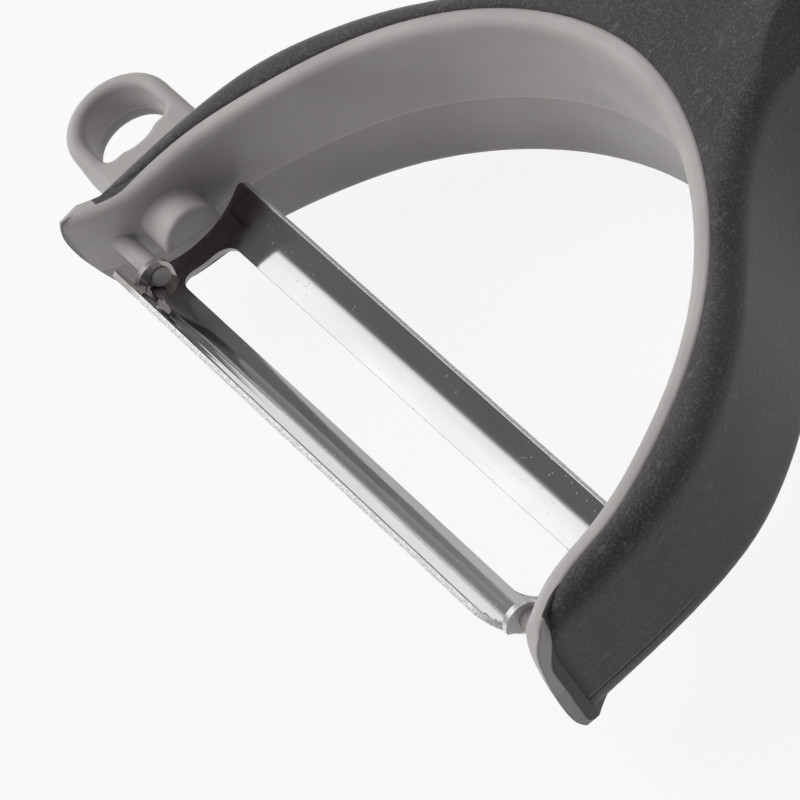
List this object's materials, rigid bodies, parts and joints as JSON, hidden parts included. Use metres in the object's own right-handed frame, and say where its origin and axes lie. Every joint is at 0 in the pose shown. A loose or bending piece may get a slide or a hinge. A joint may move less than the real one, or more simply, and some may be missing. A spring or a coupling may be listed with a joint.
{
  "type": "vegetable peeler",
  "caption": "Wide-bow vegetable peeler with a swivelling slotted steel blade, a soft-covered handle with a hanging hole and a ring-shaped eye remover.",
  "frame": {"origin": "on the front rail of the blade, midway between the arms, on the mid plane of the bow", "axes": "+X along the blade towards the arm without the eye remover, +Y from the blade towards the handle's end, +Z square to the bow, towards the blade's hollow side"},
  "size_m": [0.0738, 0.1215, 0.02],
  "materials": {
    "hard_plastic": "satin grey moulding",
    "soft_cover": "matt soft-touch, fine grain",
    "blade_steel": "polished pressed sheet"
  },
  "bodies": {
    "frame": {"frame_core": "hard_plastic", "soft_grip_cover": "soft_cover"},
    "blade": {"swivel_blade": "blade_steel"}
  },
  "joints": [
    {"name": "blade_swivel", "type": "hinge", "parent": "frame", "child": "blade", "pos_m": [0, -0.00018, 0.0014], "axis": [1, 0, 0], "range_deg": [-35, 12]}
  ]
}
